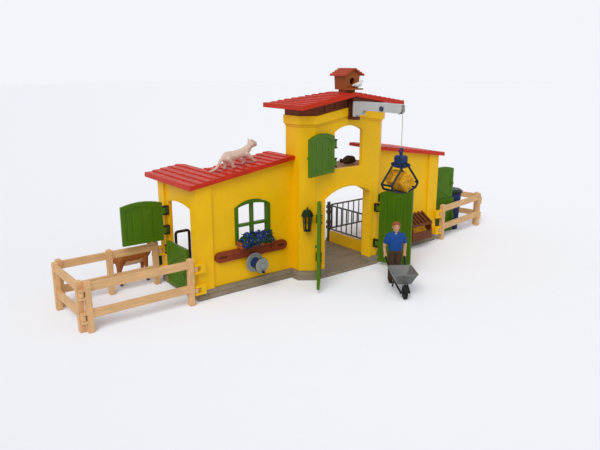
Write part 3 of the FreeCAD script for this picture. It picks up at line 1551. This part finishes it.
def bucket():
    """Open bucket with its bail stood up."""
    place = Vector(bucket_in - wing_end, wing_depth + bucket_behind, 0)
    outer = spindle(HOME, UP, [(bucket_low_radius, 0), (bucket_top_radius, bucket_tall)])
    inner = spindle(HOME, UP, [(bucket_low_radius - bucket_wall, bucket_wall),
                               (bucket_top_radius - bucket_wall, bucket_tall)])
    pail = outer.cut(inner)
    rim = bucket_top_radius - bucket_wall / 2
    angles = [math.pi * step / bail_steps for step in range(bail_steps + 1)]
    arc = [Vector(0, rim * math.cos(a), bucket_tall - bail_radius + bail_rise * math.sin(a)) for a in angles]
    return moved(fuse([pail, bent_bar(arc, bail_radius)]), place)


def tie_hoop():
    """Bent tube on a foot plate, for tying up an animal."""
    lower = hoop_tall - hoop_bend
    bend = hoop_bend * (1 - math.sqrt(0.5))
    points = [Vector(-hoop_half, 0, 0), Vector(-hoop_half, 0, lower),
              Vector(bend - hoop_half, 0, hoop_tall - bend), Vector(hoop_bend - hoop_half, 0, hoop_tall)]
    tube = bent_bar(points + [Vector(-p.x, 0, p.z) for p in reversed(points)], hoop_tube)
    reach = hoop_half + hoop_base_over
    base = span((-reach, reach), (-hoop_base_over, hoop_base_over), (0, hoop_base))
    return moved(fuse([tube, base]), Vector(hoop_in - wing_end, wing_depth + hoop_behind, 0))


def grain_sack():
    """Plump sack with a tied neck, lying on the loft floor and flat underneath."""
    sack = animal_limb(sack_shares, sack_length, sack_girth, sack_girth)
    return moved(flat_footed(sack, sack_length), Vector(sack_x, sack_y, loft_top))


def four_legs(shares, length, girth, tall):
    """Legs of an animal: each row holds shares for the hip, the knee and the hoof, and the side it is on."""
    return [animal_limb(rows, length, girth, tall) for rows in shares]


def calf():
    """Standing calf, facing the building."""
    sizes = (calf_length, calf_girth, calf_tall)
    pieces = [animal_limb(calf_torso_shares, *sizes, calf_flat_share)]
    pieces += [animal_limb(rows, *sizes) for rows in (calf_neck_shares, calf_head_shares, calf_tail_shares)]
    pieces += four_legs(calf_leg_shares, *sizes)
    pieces += [animal_limb(rows, *sizes) for rows in calf_ear_shares]
    animal = flat_footed(fuse(pieces), calf_length)
    return moved(animal, Vector(-fence_pivot - calf_out, wing_depth + calf_behind, 0))


def cat():
    """Cat walking up the left roof towards the tower."""
    sizes = (cat_length, cat_girth, cat_tall)
    pieces = [animal_limb(cat_torso_shares, *sizes, cat_flat_share)]
    pieces += [animal_limb(rows, *sizes) for rows in (cat_neck_shares, cat_head_shares, cat_tail_shares)]
    pieces += four_legs(cat_leg_shares, *sizes)
    pieces += [animal_limb(rows, *sizes) for rows in cat_ear_shares]
    animal = turned(fuse(pieces), -wing_roof_angle, HOME, BACK)
    roof = wing_top(-cat_x) + roof_thickness - tile_lip
    return moved(animal, Vector(cat_x, cat_y, roof)).cut(wing_roof())


# Farmer and wheelbarrow, drawn facing the front with the farmer's feet at the origin

def walking(shape):
    """From the figure's own frame to its place in front of the tower."""
    return moved(turned(shape, farmer_angle), Vector(farmer_x, -tower_front - farmer_ahead, 0))


def handle_line():
    """Right handle of the wheelbarrow, from its grip to the wheel's axle."""
    under = tub_floor - frame_under - handle_radius
    grip = Vector(hand_half, hand_radius * 2, hand_height)
    back = Vector(tub_floor_half - handle_radius, -(tub_back + tub_floor_in), under)
    return [grip, back, Vector(fork_half, -axle_reach, barrow_wheel_radius)]


def farmer():
    """Standing figure with hanging arms, whose fists close round the handles."""
    tall = farmer_tall
    grip, lower, _ = handle_line()
    run = (lower - grip).normalize()
    fist = grip + run * (hand_radius * 2)
    half = [stacked(rows, tall) for rows in (farmer_leg_shares, farmer_shoe_shares)]
    shoulder = Vector(*(tall * share for share in farmer_shoulder_share))
    elbow = Vector(*(tall * share for share in farmer_elbow_share))
    half.append(limb([shoulder, elbow, fist], [tall * share for share in farmer_arm_shares], RIGHT))
    half.append(pebble(fist, hand_radius, hand_radius, hand_radius))
    other = [mirrored(piece) for piece in half]
    middle = [stacked(rows, tall) for rows in (farmer_torso_shares, farmer_head_shares, farmer_nose_shares)]
    figure = moved(fuse(middle + half + other), UP * ground_gap)
    for side in (-1, 1):
        ends = [Vector(side * p.x, p.y, p.z) for p in (grip - run * overrun, lower)]
        figure = figure.cut(bar(ends[0], ends[1], handle_radius + handle_play))
    return walking(figure)


def tub_ring(back, length, half, height):
    front = -(back + length)
    return [Vector(-half, -back, height), Vector(half, -back, height), Vector(half, front, height),
            Vector(-half, front, height)]


def barrow_tub():
    """Flared tub with thin walls."""
    floor_length = tub_length - 2 * tub_floor_in
    floor_back = tub_back + tub_floor_in
    outer = faceted([tub_ring(floor_back, floor_length, tub_floor_half, tub_floor),
                     tub_ring(tub_back, tub_length, tub_half, tub_rim)])
    low = tub_ring(floor_back + tub_wall, floor_length - 2 * tub_wall, tub_floor_half - tub_wall,
                   tub_floor + tub_wall)
    high = tub_ring(tub_back + tub_wall, tub_length - 2 * tub_wall, tub_half - tub_wall, tub_rim)
    return walking(outer.cut(faceted([low, high])).removeSplitter())


def barrow_frame():
    """Two bent tubes from the grips to the axle, with legs, two bearers under the tub and the axle."""
    pieces = []
    for side in (-1, 1):
        points = [Vector(side * p.x, p.y, p.z) for p in handle_line()]
        pieces.append(bent_bar(points, handle_radius))
        nose = points[-1] + FRONT * handle_radius
        pieces.append(bar(nose, nose + BACK * (2 * handle_radius), handle_radius))
        foot = points[1] + BACK * barrow_leg_back
        foot.z = barrow_leg_foot
        pieces.append(bent_bar([points[1] + FRONT * handle_radius, foot], handle_radius))
    first = tub_back + tub_floor_in + handle_radius
    half = tub_floor_half - handle_radius
    under = tub_floor - frame_under - 2 * handle_radius
    for reach in (first, first + bearer_step):
        pieces.append(span((-half, half), (-reach - handle_radius, handle_radius - reach),
                           (under, tub_floor)))
    ends = [Vector(side * fork_half, -axle_reach, barrow_wheel_radius) for side in (-1, 1)]
    pieces.append(pin(ends[0], ends[1], barrow_axle))
    return walking(fuse(pieces))


def barrow_wheel():
    """Rounded tyre on a hub that turns on the frame's axle."""
    rim, half, hub = barrow_wheel_radius, barrow_wheel_half, barrow_hub_half
    wheel = spindle(HOME, RIGHT, [(barrow_hub_radius, -hub), (rim - half, -half), (rim, -half / 2),
                                  (rim, half / 2), (rim - half, half), (barrow_hub_radius, hub)])
    bore = pin_hole(RIGHT * -fork_half, RIGHT * fork_half, barrow_axle)
    return walking(moved(wheel.cut(bore), Vector(0, -axle_reach, barrow_wheel_radius)))


def all_parts():
    jaw = grab_jaw()
    parts = {
        "tower_base": tower_base(), "tower_shell": tower_shell(), "loft_floor": loft_floor(),
        "gable_truss": gable_truss(), "tower_roof": tower_roof(),
        "left_wing_base": wing_base(), "left_wing_shell": wing_shell([window_middle], True),
        "left_wing_roof": wing_roof(),
        "right_wing_base": mirrored(wing_base()), "right_wing_shell": mirrored(wing_shell([], False)),
        "right_wing_roof": mirrored(wing_roof()),
        "window_frame": window_frame(), "flower_box": flower_box(), "flowers": flowers(),
        "coat_rail": coat_rail(), "reel_bracket": reel_bracket(), "reel_drum": reel_drum(),
        "hinge_brackets": hinge_brackets(), "stall_post": stall_post(),
        "lanterns": Part.makeCompound([lantern(), mirrored(lantern())]),
        "crane_bracket": crane_bracket(), "crane_arm": crane_arm(), "crane_pulley": crane_pulley(),
        "winch_drum": winch(), "jib_cord": jib_cord(), "hoist_cord": hoist_cord(), "grab_head": grab_head(),
        "grab_right_jaw": jaw, "grab_left_jaw": mirrored(jaw), "hay_bale": hay_bale(),
        "birdhouse_body": birdhouse_body(), "birdhouse_roof": birdhouse_roof(), "dove": dove(),
        "hay_rack": hay_rack(), "rack_hay": rack_hay(), "feed_barrel": feed_barrel(),
        "barrel_lid": barrel_lid(), "bucket": bucket(), "tie_hoop": tie_hoop(),
        "grain_sack": grain_sack(), "calf": calf(), "cat": cat(),
        "farmer": farmer(), "barrow_tub": barrow_tub(), "barrow_frame": barrow_frame(),
        "barrow_wheel": barrow_wheel(),
    }
    parts.update(doors())
    parts.update(stall_gates())
    parts.update(fences())
    return parts


os.makedirs("parts", exist_ok=True)
for name, shape in all_parts().items():
    shape.exportStep("parts/" + name + ".step")
